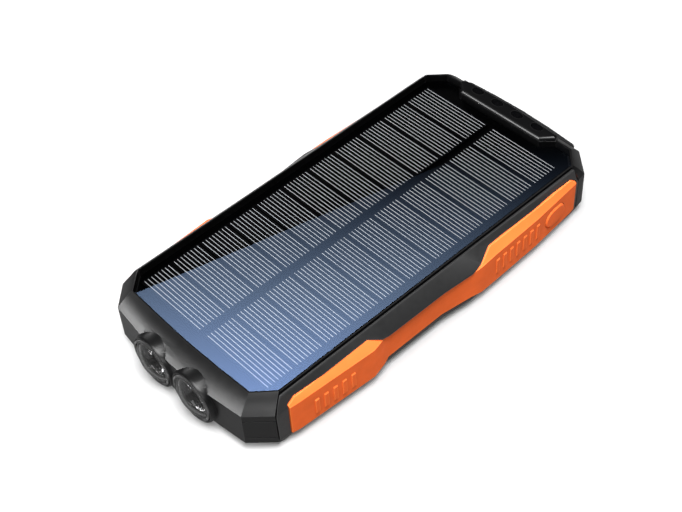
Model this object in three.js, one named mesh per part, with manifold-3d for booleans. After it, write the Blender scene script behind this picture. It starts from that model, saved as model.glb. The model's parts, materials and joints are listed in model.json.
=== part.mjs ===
// Solar phone charger with two torches, in millimetres.
// +X is the power button side, +Y the socket end, +Z up through the solar panel.
// The origin is under the middle of the charger, on the face it rests on.
// The lengths along Y below are from the middle of the solar panel's frame, and
// the finished group is shifted as a whole.

import * as THREE from 'three';
import { mergeVertices } from 'three/addons/utils/BufferGeometryUtils.js';
import Module from 'manifold-3d';

const wasm = await Module();
wasm.setup();

// ---- driving dimensions -------------------------------------------------

const GAP = 0.3;                 // clearance left between neighbouring pieces
const FRAME_SHIFT_Y = -1.25;     // brings the origin under the middle of the whole length

const GLASS_TOP = 23.1;          // height of the solar glass
const GLASS_THICK = 1.0;
const CELL_THICK = 0.4;
const BACKING_THICK = 1.2;
const SHELF_Z = GLASS_TOP - GLASS_THICK - CELL_THICK - BACKING_THICK - 3 * GAP;

const CELL_PITCH = 12.5;         // row spacing of the solar cells
const CELL_ROWS = 11;
const CELL_LENGTH = 12.1;
const CELL_WIDTH = 30.6;
const CELL_COLUMN_X = 16.57;     // middle of each of the two columns
const PANEL_MIDDLE_Y = 0.6;

const END_RIDGE_Z = 17.8;        // where the end facets meet the end walls
const SIDE_RIDGE_Z = 17.2;       // widest line of the side rails
const WALL_FOOT_Z = 3.9;         // where the walls turn in towards the base
const BASE_INSET = 3.4;          // how far the base bevel runs in at the ends

const CASE_HALF_WIDTH = 36.1;    // lower case and panel frame
const CASE_NEAR_Y = -65.8;
const CASE_FAR_Y = 71.0;
const DOME_STEPS = 5;            // the end caps' sloping tops are slightly domed
const DOME_BULGE = 0.07;
const CASE_WALL = 2.0;
const CASE_TOP = 16.6;
const RAIL_INNER_X = 36.4;

const TORCH_X = 10.25;           // torch barrels
const TORCH_Z = 10.66;
const BARREL_RADIUS = 10.0;
const BARREL_LIP_RADIUS = 9.6;
const BARREL_FRONT_Y = -82.3;
const BORE_RADIUS = 9.24;
const BORE_BACK_Y = -67.6;
const LENS_RADIUS = 8.94;
const LENS_RIM_Y = -82.5;
const LENS_DOME = 2.5;
const LENS_EDGE = 1.5;
const TORCH_SEGMENTS = 40;

const FAR_WALL_Y = 84.1;         // flat wall the sockets open through

const HOOD_TOP = 24.35;          // raised bar with the four status lights
const HOOD_STEPS = 5;            // levels that round its edge
const STATUS_X = [-14.4, -4.8, 4.8, 14.4];
const STATUS_Y = 77.85;
const STATUS_HALF = [2.3, 1.45];

const COVER_HALF_WIDTH = 26;     // rubber cover over the sockets
const COVER_TOP = 17.3;
const COVER_OUTER_Y = 87.5;      // middle of its bowed outer face
const COVER_BOW = 1.2;
const COVER_BEVEL = 0.35;
const COVER_INNER_Y = 82.5;
const COVER_AXIS = { y: 83.5, z: 6.4 };
const COVER_BEAD = 1.2;
const COVER_GROOVE = 1.8;
const RECESS_FLOOR_Y = 81.9;

const SOCKET_FACE_Y = 81.8;
const SOCKET_BASE_Z = 7.6;
const USB_A = { width: 13.2, height: 5.8, depth: 14, wall: 0.45 };
const USB_C = { width: 9.0, height: 3.4, depth: 9, wall: 0.4 };
const USB_A_X = [-15, 1.5];
const USB_C_X = 15.5;

const BUTTON_Y = 59.1;
const BUTTON_Z = 10.6;
const BUTTON_LENGTH = 11.0;
const BUTTON_HEIGHT = 7.6;
const BUTTON_PROUD = 0.4;
const STEM_RADIUS = 2.5;
const STEM_END_X = 34.4;

const SCREW_SPOTS = [[-30, -59.9], [30, -59.9], [-30, 66.6], [30, 66.6]];
const SCREW = { head: 2.5, headThick: 1.6, shank: 1.2, recess: 0.5, tip: 12.5 };
const BOSS_RADIUS = 3.5;

const RIB = { width: 1.5, height: 6.8, proud: 0.3 };
const NEAR_RIBS = { count: 5, first: -55.55, step: 3.74, middleZ: 9.9 };
const FAR_RIBS = { count: 7, first: 27.45, step: 3.58, middleZ: 10.8 };

// Outer surface of the orange bumper, station by station along Y:
// top edge x and z, ridge x and z, foot x and z.
const BUMPER_STATIONS = [
  { y: -65.7, top: [39.0, 18.0], ridge: [39.6, 17.3], foot: [39.5, 4.1] },
  { y: -62.8, top: [38.8, 19.6], ridge: [40.2, 17.7], foot: [39.9, 3.8] },
  { y: -31.6, top: [38.9, 19.8], ridge: [42.0, 17.2], foot: [42.0, 3.9] },
  { y: -26.4, top: [40.2, 17.1], ridge: [40.7, 16.8], foot: [41.0, 4.6] },
  { y: -23.6, top: [39.7, 16.6], ridge: [40.1, 16.3], foot: [40.2, 5.5] },
  { y: 1.6, top: [39.7, 16.6], ridge: [40.1, 16.3], foot: [40.2, 5.5] },
  { y: 14.6, top: [41.2, 16.6], ridge: [41.7, 16.3], foot: [41.8, 5.0] },
  { y: 19.4, top: [41.6, 17.3], ridge: [42.2, 16.9], foot: [42.1, 3.9] },
  { y: 25.6, top: [39.3, 19.8], ridge: [41.9, 17.2], foot: [41.9, 3.8] },
  { y: 48.6, top: [39.0, 19.7], ridge: [41.1, 17.2], foot: [41.1, 3.8] },
  { y: 69.0, top: [38.3, 19.5], ridge: [39.4, 17.2], foot: [39.3, 3.9] },
  { y: 71.3, top: [38.2, 17.8], ridge: [39.1, 17.1], foot: [39.0, 4.2] },
];
const BUMPER_INNER_X = 37.9;

// Outer surface of the black side rail: ridge x and wall-foot x along Y.
const RAIL_STATIONS = [
  { y: -73.0, ridge: 38.9, foot: 38.6 },
  { y: -65.0, ridge: 39.2, foot: 39.1 },
  { y: -32.0, ridge: 41.4, foot: 41.4 },
  { y: -25.0, ridge: 41.0, foot: 40.2 },
  { y: 2.0, ridge: 41.2, foot: 40.3 },
  { y: 14.4, ridge: 42.2, foot: 41.9 },
  { y: 20.0, ridge: 41.6, foot: 41.6 },
  { y: 48.0, ridge: 40.6, foot: 40.6 },
  { y: 76.0, ridge: 38.7, foot: 38.5 },
];
// Rail from its inner face over the rounded top edge to the sloping face.
const RAIL_TOP_EDGE = [[37.3, 21.95], [37.0, 22.25], [36.65, 22.35], [RAIL_INNER_X, 22.1]];

// Right half of the solar glass outline, near end to far end.
const GLASS_HALF = [
  [0, -73.65], [15, -73.3], [29.4, -72.7], [35.4, -66.1],
  [35.4, 71.9], [29.9, 77.5], [23.5, 77.9], [19.1, 73.4], [0, 73.4],
];

// Near corner facet, between the glass edge and the end ridge, as plan lines.
const CORNER_TOP = { front: [29.7, -73.3], side: [35.85, -66.3] };
const CORNER_RIDGE = { front: [31.6, -78.8], side: [38.9, -71.2] };

// Vertical planes where each side rail meets the end caps, as plan lines.
const NEAR_SEAM = { inner: [35.75, -66.0], outer: CORNER_RIDGE.side };
const FAR_SEAM = { inner: [36.0, 71.3], outer: [38.9, 72.9] };

// ---- materials ----------------------------------------------------------

function paint(colour, roughness, metalness) {
  return new THREE.MeshStandardMaterial({ color: colour, roughness, metalness });
}

const LOOKS = {
  blackPlastic: () => paint(0x2b2c2e, 0.55, 0),
  blackRubber: () => paint(0x26272a, 0.75, 0),
  orangeRubber: () => paint(0xe8702c, 0.6, 0),
  solarGlass: () => paint(0x1a2233, 0.05, 0),
  silicon: () => paint(0x10141f, 0.3, 0.1),
  board: () => paint(0x1d4a2c, 0.5, 0),
  panelLaminate: () => paint(0x07080b, 0.4, 0),
  clearLens: () => paint(0xd8dde2, 0.05, 0),
  brightMetal: () => paint(0xc9ccd0, 0.25, 1),
  screwSteel: () => paint(0x8a8d92, 0.35, 1),
  batteryWrap: () => paint(0x9aa3ad, 0.4, 0.3),
  whiteDiffuser: () => paint(0xe6ebf0, 0.3, 0),
};

// ---- solid building helpers ---------------------------------------------

function signedVolume(positions, index) {
  let sum = 0;
  const a = new THREE.Vector3();
  const b = new THREE.Vector3();
  const c = new THREE.Vector3();
  for (let i = 0; i < index.length; i += 3) {
    a.fromArray(positions, index[i] * 3);
    b.fromArray(positions, index[i + 1] * 3);
    c.fromArray(positions, index[i + 2] * 3);
    sum += a.dot(b.cross(c)) / 6;
  }
  return sum;
}

// Manifold solid from welded triangles, turned so its faces point outwards.
function solidFrom(positions, index) {
  const outward = signedVolume(positions, index) > 0;
  const triVerts = new Uint32Array(index.length);
  for (let i = 0; i < index.length; i += 3) {
    triVerts[i] = index[i];
    triVerts[i + 1] = outward ? index[i + 1] : index[i + 2];
    triVerts[i + 2] = outward ? index[i + 2] : index[i + 1];
  }
  const vertProperties = new Float32Array(positions);
  return new wasm.Manifold(new wasm.Mesh({ numProp: 3, vertProperties, triVerts }));
}

// Solid skinned through closed loops of equal length; the first and last
// loops are flat and become the end faces. `flat` drops the stacking axis.
function loft(givenLoops, flat) {
  const flatten = (loop) => loop.map((p) => new THREE.Vector2(...flat(p)));
  const turnRound = THREE.ShapeUtils.area(flatten(givenLoops[0])) < 0;
  const loops = givenLoops.map((loop) => (turnRound ? [...loop].reverse() : loop));
  const count = loops[0].length;
  const positions = loops.flat(2);
  const index = [];
  for (let k = 0; k + 1 < loops.length; k += 1) {
    for (let i = 0; i < count; i += 1) {
      const j = (i + 1) % count;
      const low = k * count;
      const high = low + count;
      index.push(low + i, low + j, high + j, low + i, high + j, high + i);
    }
  }
  for (const [a, b, c] of THREE.ShapeUtils.triangulateShape(flatten(loops[0]), [])) {
    index.push(c, b, a);
  }
  const lastLoop = loops.length - 1;
  const lastStart = lastLoop * count;
  for (const [a, b, c] of THREE.ShapeUtils.triangulateShape(flatten(loops[lastLoop]), [])) {
    index.push(lastStart + a, lastStart + b, lastStart + c);
  }
  return solidFrom(positions, index);
}

// Stack of plan outlines, each { z, points }.
function stack(levels) {
  const loops = levels.map(({ z, points }) => points.map(([x, y]) => [x, y, z]));
  return loft(loops, ([x, y]) => [x, y]);
}

function prism(points, zLow, zHigh) {
  return stack([{ z: zLow, points }, { z: zHigh, points }]);
}

// Row of x-z cross-sections, each { y, points }.
function sweepAlongY(sections) {
  const loops = sections.map(({ y, points }) => points.map(([x, z]) => [x, y, z]));
  return loft(loops, ([x, , z]) => [z, x]);
}

function box(xLow, xHigh, yLow, yHigh, zLow, zHigh) {
  return prism([[xLow, yLow], [xHigh, yLow], [xHigh, yHigh], [xLow, yHigh]], zLow, zHigh);
}

// Right half of an outline, near to far, closed by its mirror image.
function mirrored(half) {
  const left = half.filter(([x]) => x > 0).map(([x, y]) => [-x, y]);
  return [...half, ...left.reverse()];
}

function ellipsePoints(cx, cy, rx, ry, segments) {
  const points = [];
  for (let i = 0; i < segments; i += 1) {
    const angle = (i / segments) * Math.PI * 2;
    points.push([cx + rx * Math.cos(angle), cy + ry * Math.sin(angle)]);
  }
  return points;
}

function verticalCylinder(x, y, radius, zLow, zHigh, segments = 20) {
  return prism(ellipsePoints(x, y, radius, radius, segments), zLow, zHigh);
}

// Flat outline with round ends, in the two coordinates of its plane.
function pillPoints(cu, cv, length, height, segments = 8) {
  const radius = height / 2;
  const reach = length / 2 - radius;
  const points = [];
  for (const [side, start] of [[1, -Math.PI / 2], [-1, Math.PI / 2]]) {
    for (let i = 0; i <= segments; i += 1) {
      const angle = start + (i / segments) * Math.PI;
      points.push([cu + side * reach + radius * Math.cos(angle), cv + radius * Math.sin(angle)]);
    }
  }
  return points;
}

// Outline in the y-z plane pushed from one x to another.
function pushAlongX(pointsYZ, xLow, xHigh) {
  const loops = [xLow, xHigh].map((x) => pointsYZ.map(([y, z]) => [x, y, z]));
  return loft(loops, ([, y, z]) => [y, z]);
}

// Solid of revolution about a line along Y; the profile lists [radius, y]
// and runs either from the axis back to the axis or round a closed ring.
function turned(profile, x, z, segments, ring = false) {
  const outline = profile.map(([r, y]) => new THREE.Vector2(r, y));
  if (ring) {
    outline.push(outline[0].clone());
  }
  const lathe = new THREE.LatheGeometry(outline, segments);
  lathe.deleteAttribute('normal');
  lathe.deleteAttribute('uv');
  lathe.translate(x, 0, z);
  const welded = mergeVertices(lathe, 1e-5);
  const position = welded.getAttribute('position').array;
  const index = Array.from(welded.getIndex().array);
  const kept = [];
  for (let i = 0; i < index.length; i += 3) {
    const [a, b, c] = index.slice(i, i + 3);
    if (a !== b && b !== c && c !== a) {
      kept.push(a, b, c);
    }
  }
  return solidFrom(Array.from(position), kept);
}

function cylinderAlongY(x, z, radius, yLow, yHigh, segments) {
  return turned([[0, yLow], [radius, yLow], [radius, yHigh], [0, yHigh]], x, z, segments);
}

function joinAll(solids) {
  return solids.reduce((whole, next) => whole.add(next));
}

function cutAll(solid, tools) {
  return tools.reduce((rest, tool) => rest.subtract(tool), solid);
}

function mirrorX(points) {
  return points.map(([x, second]) => [-x, second]).reverse();
}

function meshFrom(name, solid, look) {
  const { vertProperties, triVerts } = solid.getMesh();
  const geometry = new THREE.BufferGeometry();
  geometry.setAttribute('position', new THREE.BufferAttribute(new Float32Array(vertProperties), 3));
  geometry.setIndex(new THREE.BufferAttribute(new Uint32Array(triVerts), 1));
  geometry.computeVertexNormals();
  const mesh = new THREE.Mesh(geometry, LOOKS[look]());
  mesh.name = name;
  return mesh;
}

// ---- shared outlines ----------------------------------------------------

// Counter-clockwise outline let out on every side by the same distance.
function grown(points, extra) {
  return points.map(([x, y], i) => {
    const [px, py] = points[(i + points.length - 1) % points.length];
    const [nx, ny] = points[(i + 1) % points.length];
    const before = new THREE.Vector2(y - py, px - x).normalize();
    const after = new THREE.Vector2(ny - y, x - nx).normalize();
    const reach = extra / (1 + before.dot(after));
    return [x + (before.x + after.x) * reach, y + (before.y + after.y) * reach];
  });
}

function panelPocket() {
  return prism(grown(mirrored(GLASS_HALF), GAP), SHELF_Z, GLASS_TOP + 4);
}

function statusHoles() {
  return STATUS_X.map((x) => {
    const [rx, ry] = STATUS_HALF;
    return prism(ellipsePoints(x, STATUS_Y, rx + GAP, ry + GAP, 16), 15, HOOD_TOP + 1);
  });
}

// Hole for the button stem through the parts behind the bumper.
function stemHole() {
  return pushAlongX(ellipsePoints(BUTTON_Y, BUTTON_Z, STEM_RADIUS + GAP, STEM_RADIUS + GAP, 20), 33, 39.5);
}

// ---- end caps -----------------------------------------------------------

function pointAlong([x0, y0], [x1, y1], share) {
  return [x0 + (x1 - x0) * share, y0 + (y1 - y0) * share];
}

function frontOutline(depthIn) {
  const [frontX, frontY] = CORNER_RIDGE.front;
  return mirrored([
    [0, -81.3 + depthIn], [17.5, -80.5 + depthIn], [frontX - depthIn * 0.4, frontY + depthIn],
    pointAlong(NEAR_SEAM.outer, NEAR_SEAM.inner, depthIn * 0.16), NEAR_SEAM.inner, [0, -66.1],
  ]);
}

function frontTopOutline() {
  return mirrored([
    [0, -74.2], [17.5, -73.8], CORNER_TOP.front, CORNER_TOP.side, NEAR_SEAM.inner, [0, -66.1],
  ]);
}

// Thin groove round the two near corners.
function seamGroove(z) {
  const outer = prism(frontOutline(-2), z - 0.18, z + 0.18);
  const inner = prism(frontOutline(0.35), z - 0.3, z + 0.3);
  const corners = [-1, 1].map((side) => {
    const xs = [side * CORNER_RIDGE.front[0], side * 60].sort((a, b) => a - b);
    return box(xs[0], xs[1], -90, -69.2, z - 0.18, z + 0.18);
  });
  return outer.subtract(inner).intersect(joinAll(corners));
}

// Levels of the sloping top of an end cap, from the ridge up to the glass, slightly domed.
function domedLevels(ridgeOutline, topOutline) {
  const levels = [];
  for (let i = 0; i <= DOME_STEPS; i += 1) {
    const share = i / DOME_STEPS;
    const lifted = share + DOME_BULGE * 4 * share * (1 - share);
    levels.push({
      z: END_RIDGE_Z + (GLASS_TOP - END_RIDGE_Z) * lifted,
      points: ridgeOutline.map((point, k) => pointAlong(point, topOutline[k], share)),
    });
  }
  return levels;
}

function frontCap() {
  const body = stack([
    { z: 0, points: frontOutline(BASE_INSET) },
    { z: WALL_FOOT_Z, points: frontOutline(0) },
    ...domedLevels(frontOutline(0), frontTopOutline()),
  ]);
  let cap = cutAll(body, [seamGroove(15.1), seamGroove(6.6)]);
  for (const side of [-1, 1]) {
    const barrel = turned([
      [0, -74], [BARREL_RADIUS, -74], [BARREL_RADIUS, BARREL_FRONT_Y + 0.9],
      [BARREL_LIP_RADIUS, BARREL_FRONT_Y], [0, BARREL_FRONT_Y],
    ], side * TORCH_X, TORCH_Z, TORCH_SEGMENTS);
    cap = cap.add(barrel);
  }
  for (const side of [-1, 1]) {
    const bore = cylinderAlongY(side * TORCH_X, TORCH_Z, BORE_RADIUS, -90, BORE_BACK_Y, TORCH_SEGMENTS);
    cap = cap.subtract(bore);
  }
  return cap.subtract(panelPocket());
}

function farOutline(depthIn) {
  return mirrored([
    [0, 71.3], FAR_SEAM.inner,
    pointAlong(FAR_SEAM.outer, FAR_SEAM.inner, depthIn * 0.16),
    [38.5 - depthIn * 0.7, 76.4 - depthIn * 0.5],
    [29.6 - depthIn * 0.4, FAR_WALL_Y - depthIn], [0, FAR_WALL_Y - depthIn],
  ]);
}

function farTopOutline() {
  return mirrored([
    [0, 71.3], FAR_SEAM.inner, pointAlong(FAR_SEAM.inner, FAR_SEAM.outer, 0.05),
    [36.05, 72.4], [30.3, 78.4], [0, 78.9],
  ]);
}

// Levels from one outline up to a smaller one, rounded like a quarter circle.
function roundedLevels(foot, top, footZ, topZ) {
  return Array.from({ length: HOOD_STEPS + 1 }, (_, i) => {
    const angle = (i / HOOD_STEPS) * (Math.PI / 2);
    return {
      z: footZ + (topZ - footZ) * Math.sin(angle),
      points: foot.map((point, k) => pointAlong(point, top[k], 1 - Math.cos(angle))),
    };
  });
}

function hood() {
  const base = mirrored([[0, 73.75], [19.0, 73.75], [23.4, 78.2], [23.2, 81.4], [0, 82.2]]);
  const foot = mirrored([[0, 73.75], [19.0, 73.75], [23.3, 78.1], [22.8, 79.6], [0, 80.7]]);
  const top = mirrored([[0, 74.8], [18.2, 74.8], [21.6, 78.2], [21.4, 79.0], [0, 79.9]]);
  return stack([{ z: 19, points: base }, ...roundedLevels(foot, top, GLASS_TOP, HOOD_TOP)]);
}

function coverRecess() {
  const half = COVER_HALF_WIDTH + GAP;
  const { y, z } = COVER_AXIS;
  const groove = pushAlongX(ellipsePoints(y, z, COVER_GROOVE, COVER_GROOVE, 20), -half, half);
  const pocket = box(-half, half, RECESS_FLOOR_Y, 90, z, COVER_TOP + GAP);
  const mouth = box(-half, half, y, 90, z - COVER_GROOVE, z + 1);
  return joinAll([pocket, groove, mouth]);
}

function socketHole(x, socket) {
  const halfWidth = socket.width / 2 + GAP;
  const top = SOCKET_BASE_Z + socket.height + GAP;
  return box(x - halfWidth, x + halfWidth, 80, 83, SOCKET_BASE_Z - GAP, top);
}

function farCap() {
  const body = stack([
    { z: 0, points: farOutline(BASE_INSET) },
    { z: WALL_FOOT_Z, points: farOutline(0) },
    ...domedLevels(farOutline(0), farTopOutline()),
  ]);
  const inside = box(-29, 29, 70, 80.9, CASE_WALL, 18.6);
  const sockets = [...USB_A_X.map((x) => socketHole(x, USB_A)), socketHole(USB_C_X, USB_C)];
  return cutAll(body.subtract(panelPocket()).add(hood()), [
    inside, coverRecess(), ...sockets, ...statusHoles(),
  ]);
}

// ---- side rails and bumpers ---------------------------------------------

function railSection({ ridge, foot }) {
  const baseX = Math.max(foot - 3.2, 37.2);
  return [
    [RAIL_INNER_X, 0], [baseX, 0], [foot, WALL_FOOT_Z], [ridge, SIDE_RIDGE_Z - 0.3],
    [ridge - 0.25, SIDE_RIDGE_Z + 0.3], ...RAIL_TOP_EDGE,
  ];
}

function bumperSection({ top, ridge, foot }) {
  return [
    [BUMPER_INNER_X, foot[1]], foot, ridge, top, [BUMPER_INNER_X, top[1]],
  ];
}

// The bumper's own shape let out by the clearance and opened outwards.
function pocketSection({ top, foot }) {
  const inner = BUMPER_INNER_X - GAP;
  const high = top[1] + GAP;
  const low = foot[1] - GAP;
  return [[inner, low], [50, low], [50, high], [top[0], high], [inner, high]];
}

// Everything beyond a seam plane, set back from it by the clearance.
function beyondSeam({ inner, outer }, side, direction) {
  const slope = (outer[1] - inner[1]) / (outer[0] - inner[0]);
  const setBack = direction * GAP * Math.hypot(1, slope);
  const seamY = (x) => inner[1] + setBack + slope * (x - inner[0]);
  const away = -direction * 160;
  const plan = [[20, seamY(20)], [60, seamY(60)], [60, away], [20, away]];
  return prism(side > 0 ? plan : mirrorX(plan), -5, 40);
}

// Everything above the sloping facet of a near corner.
function aboveNearCorner(side) {
  const run = [CORNER_RIDGE.side[0] - CORNER_RIDGE.front[0], CORNER_RIDGE.side[1] - CORNER_RIDGE.front[1]];
  const rise = (share) => {
    const low = pointAlong(CORNER_RIDGE.front, CORNER_TOP.front, share);
    const high = pointAlong(CORNER_RIDGE.side, CORNER_TOP.side, share);
    const beyond = [high[0] + run[0], high[1] + run[1]];
    return [low, [low[0] + 30, low[1] - 30], [beyond[0] + 30, beyond[1] - 30], beyond];
  };
  const plan = (share) => (side > 0 ? rise(share) : mirrorX(rise(share)));
  const topZ = END_RIDGE_Z + 2 * (GLASS_TOP - END_RIDGE_Z);
  return stack([{ z: END_RIDGE_Z, points: plan(0) }, { z: topZ, points: plan(2) }]);
}

function sided(sections, side) {
  return sections.map(({ y, points }) => ({ y, points: side > 0 ? points : mirrorX(points) }));
}

function bumperPocket(side) {
  const sections = BUMPER_STATIONS.map((station) => ({ y: station.y, points: pocketSection(station) }));
  sections[0].y -= GAP;
  sections[sections.length - 1].y += GAP;
  return sweepAlongY(sided(sections, side));
}

function sideRail(side) {
  const sections = RAIL_STATIONS.map((station) => ({ y: station.y, points: railSection(station) }));
  const rail = cutAll(sweepAlongY(sided(sections, side)), [
    bumperPocket(side), beyondSeam(NEAR_SEAM, side, 1), beyondSeam(FAR_SEAM, side, -1),
    aboveNearCorner(side),
  ]);
  return side > 0 ? rail.subtract(stemHole()) : rail;
}

function bumperFaceX(y) {
  const next = BUMPER_STATIONS.findIndex((station) => station.y >= y);
  const a = BUMPER_STATIONS[next - 1];
  const b = BUMPER_STATIONS[next];
  return a.ridge[0] + ((b.ridge[0] - a.ridge[0]) * (y - a.y)) / (b.y - a.y);
}

function gripRib(y, middleZ, side) {
  const low = middleZ - RIB.height / 2;
  const high = middleZ + RIB.height / 2;
  const yLow = y - RIB.width / 2;
  const yHigh = y + RIB.width / 2;
  const section = (yAt, proud) => ({
    y: yAt,
    points: [
      [38.4, low], [bumperFaceX(yAt) + proud - 0.3, low], [bumperFaceX(yAt) + proud, low + 0.4],
      [bumperFaceX(yAt) + proud, high - 0.4], [bumperFaceX(yAt) + proud - 0.3, high], [38.4, high],
    ],
  });
  const sections = [section(yLow, RIB.proud), section(yHigh, RIB.proud)];
  return sweepAlongY(sided(sections, side));
}

function gripRibs(row, side) {
  return Array.from({ length: row.count }, (_, i) => (
    gripRib(row.first + i * row.step, row.middleZ, side)
  ));
}

function buttonSlope() {
  return (bumperFaceX(BUTTON_Y + 4) - bumperFaceX(BUTTON_Y - 4)) / 8;
}

function bumper(side) {
  const sections = BUMPER_STATIONS.map((station) => ({ y: station.y, points: bumperSection(station) }));
  const body = sweepAlongY(sided(sections, side));
  const ribbed = joinAll([body, ...gripRibs(NEAR_RIBS, side), ...gripRibs(FAR_RIBS, side)]);
  if (side < 0) {
    return ribbed;
  }
  const opening = pillPoints(BUTTON_Y, BUTTON_Z, BUTTON_LENGTH + 2 * GAP, BUTTON_HEIGHT + 2 * GAP);
  return ribbed.subtract(pushAlongX(opening, 37, 45));
}

// ---- power button and switch --------------------------------------------

function powerButton() {
  const outline = pillPoints(BUTTON_Y, BUTTON_Z, BUTTON_LENGTH, BUTTON_HEIGHT);
  const faceX = (y) => bumperFaceX(BUTTON_Y) + BUTTON_PROUD + buttonSlope() * (y - BUTTON_Y);
  const inset = pillPoints(BUTTON_Y, BUTTON_Z, BUTTON_LENGTH - 1, BUTTON_HEIGHT - 1);
  const loops = [
    outline.map(([y, z]) => [38.6, y, z]),
    outline.map(([y, z]) => [faceX(y) - 0.4, y, z]),
    inset.map(([y, z]) => [faceX(y), y, z]),
  ];
  const cap = loft(loops, ([, y, z]) => [y, z]);
  const stem = pushAlongX(
    ellipsePoints(BUTTON_Y, BUTTON_Z, STEM_RADIUS, STEM_RADIUS, 20), STEM_END_X, 39,
  );
  return cap.add(stem);
}

function tactSwitch() {
  const body = box(30.2, 33.0, BUTTON_Y - 3, BUTTON_Y + 3, SOCKET_BASE_Z, 13.6);
  const plunger = pushAlongX(ellipsePoints(BUTTON_Y, BUTTON_Z, 1.6, 1.6, 16), 32, 33.6);
  return body.add(plunger);
}

// ---- case and panel -----------------------------------------------------

function lowerCase() {
  const half = CASE_HALF_WIDTH;
  const outer = box(-half, half, CASE_NEAR_Y, CASE_FAR_Y, 0, CASE_TOP);
  const inner = half - CASE_WALL;
  const room = box(-inner, inner, CASE_NEAR_Y + CASE_WALL, CASE_FAR_Y + 1, CASE_WALL, CASE_TOP + 1);
  const bosses = SCREW_SPOTS.map(([x, y]) => verticalCylinder(x, y, BOSS_RADIUS, 1, 6));
  const shanks = SCREW_SPOTS.map(([x, y]) => verticalCylinder(x, y, SCREW.shank + GAP, -1, 7));
  const heads = SCREW_SPOTS.map(([x, y]) => (
    verticalCylinder(x, y, SCREW.head + GAP, -1, SCREW.recess + SCREW.headThick + GAP)
  ));
  return cutAll(joinAll([outer.subtract(room), ...bosses]), [...shanks, ...heads, stemHole()]);
}

function panelFrame() {
  const half = CASE_HALF_WIDTH;
  const ledgeLow = CASE_TOP + GAP;
  const ledgeHigh = SHELF_Z - GAP;
  const lipInner = GLASS_HALF[3][0] + GAP;
  const ledge = box(-half, half, CASE_NEAR_Y, CASE_FAR_Y, ledgeLow, ledgeHigh);
  const window = box(-26, 26, -56, 61, ledgeLow - 1, ledgeHigh + 1);
  const lips = [-1, 1].map((side) => {
    const xs = [side * lipInner, side * half].sort((a, b) => a - b);
    return box(xs[0], xs[1], CASE_NEAR_Y, CASE_FAR_Y, ledgeLow, GLASS_TOP);
  });
  const bosses = SCREW_SPOTS.map(([x, y]) => verticalCylinder(x, y, BOSS_RADIUS, 6 + GAP, ledgeHigh));
  const holes = SCREW_SPOTS.map(([x, y]) => (
    verticalCylinder(x, y, SCREW.shank + GAP, 5, SCREW.tip + GAP)
  ));
  return cutAll(joinAll([ledge.subtract(window), ...lips, ...bosses]), holes);
}

function coverGlass() {
  return prism(mirrored(GLASS_HALF), GLASS_TOP - GLASS_THICK, GLASS_TOP);
}

function backingBoard() {
  return prism(grown(mirrored(GLASS_HALF), -0.5), SHELF_Z, SHELF_Z + BACKING_THICK);
}

function solarCell(row, side) {
  const middleY = PANEL_MIDDLE_Y + (row - (CELL_ROWS - 1) / 2) * CELL_PITCH;
  const middleX = side * CELL_COLUMN_X;
  const low = SHELF_Z + BACKING_THICK + GAP;
  return box(
    middleX - CELL_WIDTH / 2, middleX + CELL_WIDTH / 2,
    middleY - CELL_LENGTH / 2, middleY + CELL_LENGTH / 2,
    low, low + CELL_THICK,
  );
}

function caseScrew([x, y]) {
  const headTop = SCREW.recess + SCREW.headThick;
  const head = verticalCylinder(x, y, SCREW.head, SCREW.recess, headTop, 20);
  const shank = verticalCylinder(x, y, SCREW.shank, headTop - 0.2, SCREW.tip, 16);
  const slotA = box(x - 1.5, x + 1.5, y - 0.3, y + 0.3, 0, SCREW.recess + 0.7);
  const slotB = box(x - 0.3, x + 0.3, y - 1.5, y + 1.5, 0, SCREW.recess + 0.7);
  return cutAll(head.add(shank), [slotA, slotB]);
}

// ---- torches ------------------------------------------------------------

function torchLens(side) {
  const steps = 6;
  const profile = [[0, LENS_RIM_Y + LENS_EDGE], [LENS_RADIUS, LENS_RIM_Y + LENS_EDGE]];
  for (let i = 0; i < steps; i += 1) {
    const share = 1 - i / steps;
    profile.push([LENS_RADIUS * share, LENS_RIM_Y - LENS_DOME * (1 - share * share)]);
  }
  profile.push([0, LENS_RIM_Y - LENS_DOME]);
  return turned(profile, side * TORCH_X, TORCH_Z, TORCH_SEGMENTS);
}

function torchReflector(side) {
  const front = LENS_RIM_Y + LENS_EDGE + GAP;
  const profile = [
    [8.2, front], [8.9, front], [8.9, front + 0.8], [7.4, front + 4.4], [3.6, -70.4], [2.9, -70.4],
    [6.6, front + 4.2],
  ];
  return turned(profile, side * TORCH_X, TORCH_Z, 32, true);
}

function torchLed(side) {
  const profile = [
    [0, -68.0], [7.6, -68.0], [7.6, -69.8], [2.4, -69.8], [2.3, -71.2], [1.7, -72.4], [0, -72.9],
  ];
  return turned(profile, side * TORCH_X, TORCH_Z, 24);
}

// ---- electronics --------------------------------------------------------

function batteryCell(side) {
  const outline = (inset) => {
    const low = -56 + inset;
    const high = 42 - inset;
    const xs = side > 0 ? [0.5 + inset, 33.5 - inset] : [-33.5 + inset, -0.5 - inset];
    return [[xs[0], low], [xs[1], low], [xs[1], high], [xs[0], high]];
  };
  return stack([
    { z: 2.6, points: outline(1.2) }, { z: 3.8, points: outline(0) },
    { z: 13.6, points: outline(0) }, { z: 14.8, points: outline(1.2) },
  ]);
}

function mainBoard() {
  const outline = [
    [-25.5, 46], [33.5, 46], [33.5, 61.4], [25.5, 61.4], [25.5, 80], [-25.5, 80],
  ];
  return prism(outline, SOCKET_BASE_Z - GAP - 1.4, SOCKET_BASE_Z - GAP);
}

function statusBoard() {
  return box(-18, 18, 76.4, 80.5, 14.4, 15.6);
}

function statusWindow(x) {
  const [rx, ry] = STATUS_HALF;
  return prism(ellipsePoints(x, STATUS_Y, rx, ry, 16), 15.9, HOOD_TOP - 0.25);
}

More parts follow.
